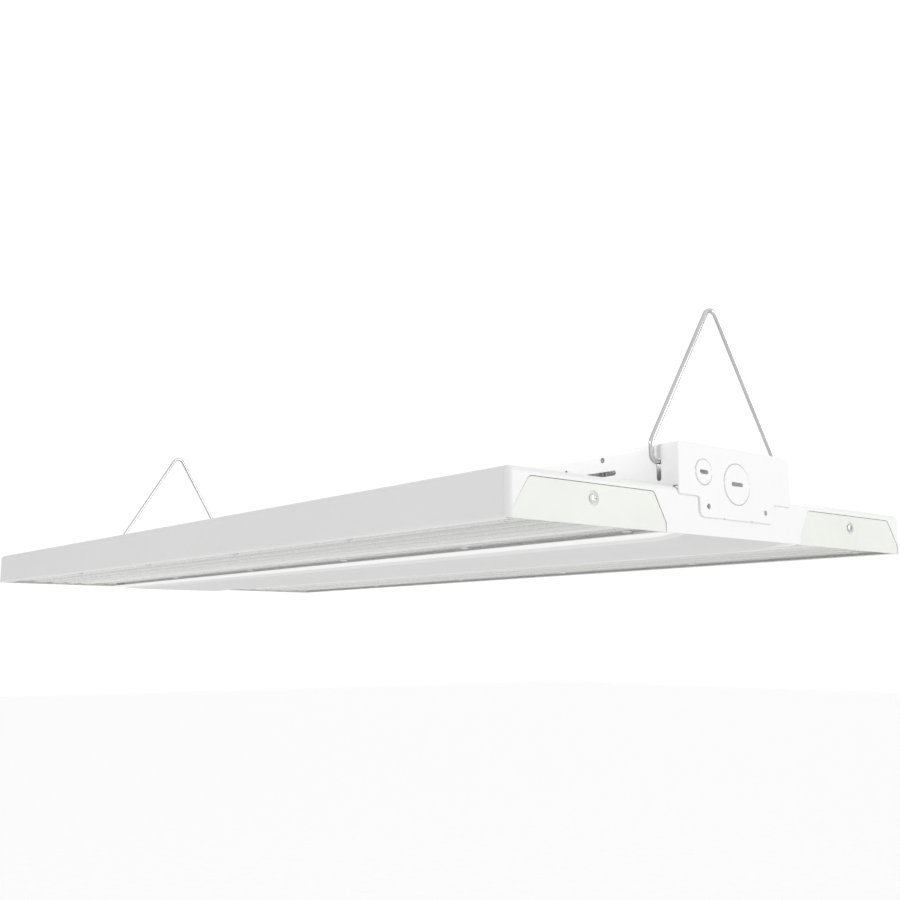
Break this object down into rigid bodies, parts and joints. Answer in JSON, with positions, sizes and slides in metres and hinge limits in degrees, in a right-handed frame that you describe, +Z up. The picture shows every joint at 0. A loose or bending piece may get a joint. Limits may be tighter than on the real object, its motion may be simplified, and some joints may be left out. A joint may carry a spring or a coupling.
{
  "type": "linear high bay light",
  "caption": "Linear high bay light: ribbed lens wings either side of a central driver box, white folded steel, hung from wire hangers.",
  "frame": {"origin": "centre of the centre pan's flat underside, the lowest face of the light; the light is centred on it along X and Y", "axes": "+X along the light towards its right end, +Y across it towards the back wing, +Z up towards the hangers"},
  "size_m": [1.1542, 0.55, 0.2212],
  "materials": {
    "white_paint": "satin powder coat",
    "reflector": "high-reflectance white",
    "lens": "clear ribbed acrylic",
    "insert": "translucent moulded",
    "zinc": "zinc plated",
    "wire": "bright plated wire",
    "board": "white solder mask",
    "led": "phosphor",
    "driver_case": "painted case",
    "terminal": "moulded"
  },
  "bodies": {
    "fixture": {"board_screws_back": "zinc", "board_screws_front": "zinc", "box_cover_left": "white_paint", "box_cover_right": "white_paint", "centre_pan": "white_paint", "driver_left": "driver_case", "driver_right": "driver_case", "driver_screws": "zinc", "end_insert_back_left": "insert", "end_insert_back_right": "insert", "end_insert_front_left": "insert", "end_insert_front_right": "insert", "end_plate_left": "white_paint", "end_plate_right": "white_paint", "housing": "white_paint", "insert_screws": "zinc", "led_board_back_left": "board", "led_board_back_right": "board", "led_board_front_left": "board", "led_board_front_right": "board", "leds_back_left": "led", "leds_back_right": "led", "leds_front_left": "led", "leds_front_right": "led", "lens_back": "lens", "lens_front": "lens", "lens_screws_back": "zinc", "lens_screws_front": "zinc", "reflector_back": "reflector", "reflector_front": "reflector", "terminal_block": "terminal"},
    "hanger_left": {"hanger_left": "wire"},
    "hanger_right": {"hanger_right": "wire"}
  },
  "joints": [
    {"name": "hanger_right_swing", "type": "hinge", "parent": "fixture", "child": "hanger_right", "pos_m": [0.555, 0, 0.0674], "axis": [0, 1, 0], "range_deg": [-56, 128]},
    {"name": "hanger_left_swing", "type": "hinge", "parent": "fixture", "child": "hanger_left", "pos_m": [-0.555, 0, 0.0674], "axis": [0, -1, 0], "range_deg": [-56, 128]}
  ]
}
